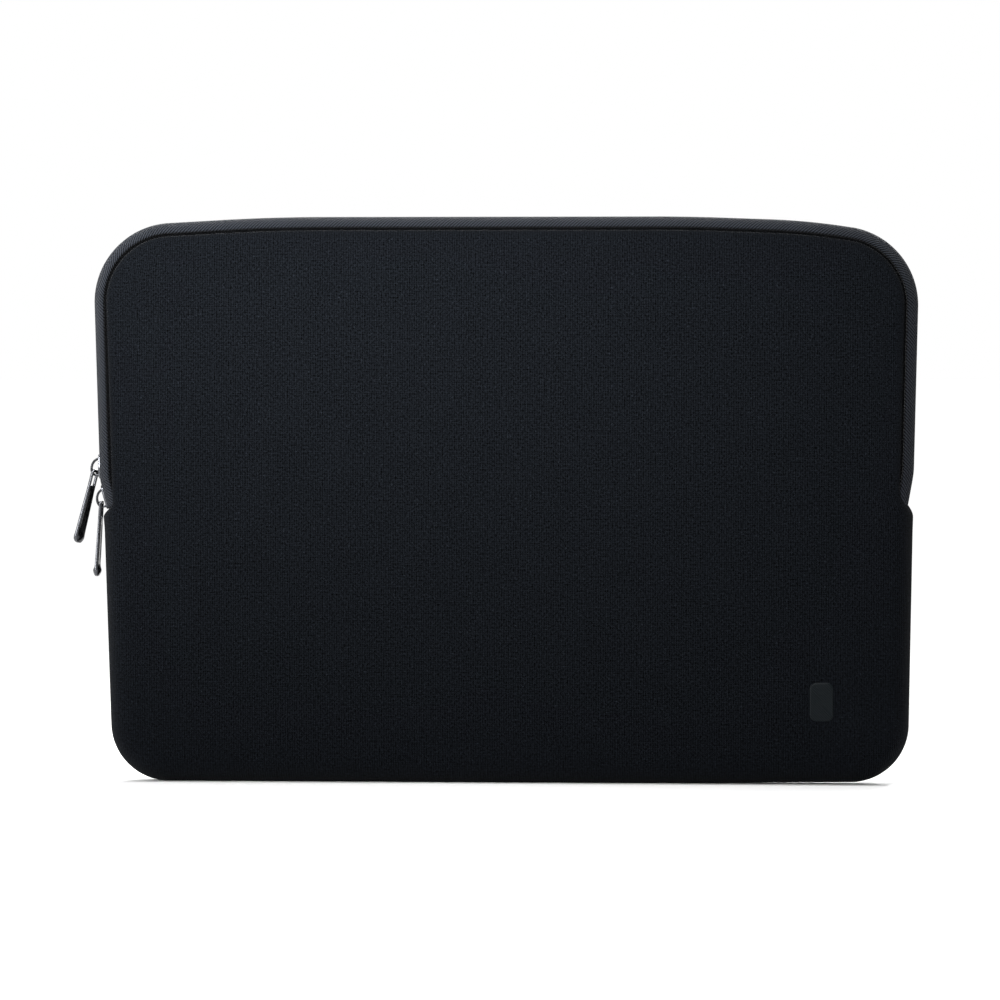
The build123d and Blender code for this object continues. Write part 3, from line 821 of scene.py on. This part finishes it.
def puller(which, lean, twist):
    """A cast tab: two rails round its eye, a shallow recess down each face, and a swollen grip at the end."""
    bar = slider_axes(which)[3]
    lean, twist = math.radians(lean), math.radians(twist)
    outside = np.array([-math.cos(lean), 0, math.sin(lean)])
    front = np.array([0, -1.0, 0])
    wide = front * math.cos(twist) + outside * math.sin(twist)
    thick = outside * math.cos(twist) - front * math.sin(twist)
    down = np.cross(wide, thick)
    ys = np.concatenate([PULLER_BAR * np.cos(np.linspace(0, math.pi, 9)),
                         np.linspace(EYE_TOP, EYE_FOOT, 11)[1:],
                         np.linspace(EYE_FOOT, -7.6, 4)[1:], np.linspace(-7.6, -28.2, 22)[1:],
                         -28.2 - 6.6 * np.sin(np.linspace(0, math.pi / 2, 22))[1:]])
    rail = (1 - np.cos(np.linspace(0, math.pi, 7))) / 2
    grid_x, grid_h = [], []
    for y in ys:
        run = np.clip((-y - 7.6) / 24, 0, 1)
        half = PULLER_HEAD + (PULLER_FOOT - PULLER_HEAD) * run
        if y > -0.4:
            half -= 1.2 - math.sqrt(max(0.0, 1.44 - (y + 0.4) ** 2))
        if y < -31.6:
            half = PULLER_FOOT * math.sqrt(max(0.0, 1 - ((-31.6 - y) / 3.2) ** 2))
        slot = min(EYE_HALF, half * 0.6)
        x = np.concatenate([-half + (half - slot) * rail, np.linspace(-slot, slot, 9)[1:-1],
                            slot + (half - slot) * rail])
        edge = half - np.abs(x)
        edge = np.minimum(edge, min(PULLER_BAR - y, y + PULLER_LONG))
        if EYE_FOOT <= y <= EYE_TOP:
            edge = np.minimum(edge, np.abs(x) - slot)
        elif y < EYE_FOOT:
            away = np.hypot(np.maximum(np.abs(x) - slot, 0), EYE_FOOT - y)
            edge = np.minimum(edge, away)
        edge = np.clip(edge, 0, None)
        h = PULLER_BAR * np.sqrt(1 - (1 - np.clip(edge / 0.45, 0, 1)) ** 2)
        if y > EYE_TOP:
            bar_h = math.sqrt(max(0.0, PULLER_BAR ** 2 - y * y))
            h = np.where(np.abs(x) < slot + 0.05, bar_h, h)
        recess = smoothstep(0, 0.5, 2.0 + 0.7 * run - np.abs(x) - 0.4) * smoothstep(9.5, 10.6, -y)
        h = h - 0.2 * recess * smoothstep(27.6, 26.4, -y)
        grip = math.exp(-((y + 32.0) / 1.9) ** 2) if y < -27 else 0.0
        h = h + 1.15 * grip * np.clip(1 - (x / PULLER_FOOT) ** 2, 0, 1) * np.clip(edge / 1.2, 0, 1) ** 0.6
        grid_x.append(x)
        grid_h.append(h)
    grid_x, grid_h = np.array(grid_x), np.array(grid_h)
    rows, count = grid_x.shape
    flat = bar + grid_x[..., None] * wide - ys[:, None, None] * down
    top = flat + grid_h[..., None] * thick
    under = flat - grid_h[..., None] * thick
    eye = range(len(rail) - 1, len(rail) + 7)
    faces = []
    for r in range(rows - 1):
        for c in range(count - 1):
            if c in eye and EYE_FOOT - 1e-6 <= ys[r + 1] and ys[r] <= EYE_TOP + 1e-6:
                continue
            a, b = r * count + c, (r + 1) * count + c
            faces.append((a, a + 1, b + 1, b))
            faces.append(tuple(k + rows * count for k in (a, b, b + 1, a + 1)))
    both = np.vstack([top.reshape(-1, 3), under.reshape(-1, 3)])
    piece = make_piece(f"puller_tab_{which}", both, faces, METAL)
    bm = bmesh.new()
    bm.from_mesh(piece.data)
    bmesh.ops.remove_doubles(bm, verts=bm.verts, dist=1e-5)
    bmesh.ops.dissolve_degenerate(bm, edges=bm.edges, dist=1e-6)
    bmesh.ops.recalc_face_normals(bm, faces=bm.faces)
    bm.to_mesh(piece.data)
    bm.free()
    return piece


def seam_thread(name, hand):
    """The thread in the groove between tape and panel, pulled down at every stitch."""
    line = zip_samples(0.4, trim=9.0)
    out, s = outward(line), lengths(line)
    u = np.full(len(s), -5.9)
    v = 10.15 + 0.55 * np.abs(np.sin(math.pi * s / STITCH)) ** 0.6
    path = np.stack([line[:, 0] + out[:, 0] * u, hand * v, line[:, 1] + out[:, 1] * u], 1)
    return tube(name, path, out, 0.36, 6, THREAD)


# ---- build and dress -----------------------------------------------------------------------------
def bend_front(piece):
    """Writes a front piece's placement into its points."""
    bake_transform(piece)


def finish_piece(piece, front, nodes):
    """Hides the nodes that a piece stands for; a front piece has its placement written into its points, any
    other is attached to the sleeve's body.
    """
    if nodes:
        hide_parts(*nodes)
    if front:
        bend_front(piece)
    else:
        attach(piece, "sleeve")


def thirds(node):
    """The three nodes of a front part that follows the zip."""
    return [f"{node}_left", f"{node}_right", f"{node}_flap"]


panel_back = shell("panel_back", SEAM_PANEL, ROLL_PANEL, 2, 1, KNIT)
panel_front = shell("panel_front", SEAM_PANEL, ROLL_PANEL, 2, -1, KNIT)
lining_back = shell("lining_back", SEAM_LINING, ROLL_LINING, 1, 1, LINING)
lining_front = shell("lining_front", SEAM_LINING, ROLL_LINING, 1, -1, LINING)
TAPE_POINTS, TAPE_RUN = tape_section()
tape_line = zip_samples(1.0, extra_end=4.0, trim=1.2)
tape_back = sweep("tape_back", tape_line, TAPE_POINTS, 1, TAPE, sink_ends, TAPE_RUN)
tape_front = sweep("tape_front", tape_line, TAPE_POINTS, -1, TAPE, sink_ends, TAPE_RUN)
coil_back = coil("coil_back", 1, 0.0, NYLON)
coil_front = coil("coil_front", -1, 0.5, NYLON)
BOUND, BOUND_RUN = soft_block(-8.0, -6.3, 6.6, 8.95, 0.6)
bound_line = zip_samples(0.7, trim=1.0)
binding_back = sweep("binding_back", bound_line, BOUND, 1, BINDING, stitched, BOUND_RUN)
binding_front = sweep("binding_front", bound_line, BOUND, -1, BINDING, stitched, BOUND_RUN)
LOWER, LOWER_RUN = soft_block(-7.3, -5.3, -0.85, 0.85, 0.5)
lower_line = rounded_line(LOWER_LINE, LOWER_RADII)
lower_line = at_length(lower_line, np.arange(0, lengths(lower_line)[-1], 0.7))
binding_lower = sweep("binding_lower", lower_line, LOWER, 1, BINDING, stitched, LOWER_RUN)
badge_piece = badge()
straps = {which: strap(which) for which in ("upper", "lower")}
pullers = {"upper": puller("upper", 14.0, 28.0), "lower": puller("lower", 3.6, 4.0)}
thread_back = seam_thread("seam_thread_back", 1)
thread_front = seam_thread("seam_thread_front", -1)

finish_piece(panel_back, False, ["back_panel"])
finish_piece(panel_front, True, ["front_panel_lower", "front_panel_flap"])
finish_piece(lining_back, False, ["back_lining"])
finish_piece(lining_front, True, ["front_lining_lower", "front_lining_flap"])
finish_piece(tape_back, False, ["zip_tape_back"])
finish_piece(tape_front, True, thirds("zip_tape_front"))
finish_piece(coil_back, False, ["zip_coil_back"])
finish_piece(coil_front, True, thirds("zip_coil_front"))
finish_piece(binding_back, False, ["zip_binding_back"])
finish_piece(binding_front, True, thirds("zip_binding_front"))
finish_piece(binding_lower, False, ["seam_binding_lower"])
finish_piece(badge_piece, False, ["badge_patch"])
finish_piece(thread_back, False, [])
finish_piece(thread_front, True, [])
for which in ("upper", "lower"):
    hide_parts(f"slider_{which}_strap")
    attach(straps[which], f"slider_{which}")
    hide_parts(f"puller_{which}")
    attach(pullers[which], f"puller_{which}")

for node in frame["nodes"]:
    if node.startswith(("slider_", "puller_")):
        material = METAL
    elif node.startswith("zip_stop"):
        material = NYLON
    else:
        continue
    obj = frame["nodes"][node]
    if not obj.material_slots:
        obj.data.materials.append(None)
    for socket in obj.material_slots:
        socket.link = "OBJECT"
        socket.material = material

# ---- stage, light and camera ---------------------------------------------------------------------
floor_mesh = bpy.data.meshes.new("floor")
floor_mesh.from_pydata([(-40, -40, 0), (40, -40, 0), (40, 40, 0), (-40, 40, 0)], [], [(0, 1, 2, 3)])
floor_mesh.materials.append(floor_material())
floor = bpy.data.objects.new("floor", floor_mesh)
bpy.context.collection.objects.link(floor)


def area_light(name, place, aim, size, power, spread_deg):
    """A soft light that the camera doesn't see."""
    data = bpy.data.lights.new(name, "AREA")
    data.shape = "RECTANGLE"
    data.size, data.size_y = size
    data.energy = power
    data.spread = math.radians(spread_deg)
    light = bpy.data.objects.new(name, data)
    light.location = place
    light.visible_camera = False
    light.rotation_mode = "QUATERNION"
    light.rotation_quaternion = (Vector(aim) - Vector(place)).to_track_quat("-Z", "Y")
    bpy.context.collection.objects.link(light)


area_light("key", (-0.30, -0.62, 0.52), (-0.20, -0.0125, 0.282), (0.7, 0.14), 2.2, 44)
area_light("side", (-1.03, -0.5, 0.30), (-0.21, 0, 0.12), (0.5, 0.5), 0.75, 30)
area_light("back", (0.1, 0.7, 0.6), (0, 0, 0.2), (0.9, 0.2), 3.0, 60)
sun_data = bpy.data.lights.new("sky", "SUN")
sun_data.energy = 3.6
sun_data.angle = math.radians(35)
sun = bpy.data.objects.new("sky", sun_data)
sun.rotation_euler = (0, 0, 0)
bpy.context.collection.objects.link(sun)

world = bpy.data.worlds.new("studio")
bpy.context.scene.world = world
world.use_nodes = True
backdrop = world.node_tree.nodes["Background"]
backdrop.inputs[0].default_value = (1, 1, 1, 1)
ray = world.node_tree.nodes.new("ShaderNodeLightPath")
strength = world.node_tree.nodes.new("ShaderNodeMapRange")
strength.inputs[3].default_value = 0.088    # what the surroundings give as light
strength.inputs[4].default_value = 1.0     # how bright they are where the camera sees them
world.node_tree.links.new(ray.outputs["Is Camera Ray"], strength.inputs[0])
world.node_tree.links.new(strength.outputs[0], backdrop.inputs[1])
bpy.context.scene.view_settings.view_transform = "Standard"

AZIMUTH, ELEVATION, DISTANCE = math.radians(4.0), math.radians(1.5), 2.6
VIEW_WIDTH = 0.4672      # what the picture spans at the sleeve
target = Vector((-0.0023, 0, 0.1319))
back = Vector((math.sin(AZIMUTH) * math.cos(ELEVATION), -math.cos(AZIMUTH) * math.cos(ELEVATION),
               math.sin(ELEVATION)))
camera_data = bpy.data.cameras.new("camera")
camera_data.sensor_width = 36.0
camera_data.lens = 36.0 * DISTANCE / VIEW_WIDTH
camera = bpy.data.objects.new("camera", camera_data)
camera.location = target + back * DISTANCE
camera.rotation_mode = "QUATERNION"
camera.rotation_quaternion = (-back).to_track_quat("-Z", "Y")
bpy.context.collection.objects.link(camera)
bpy.context.scene.camera = camera
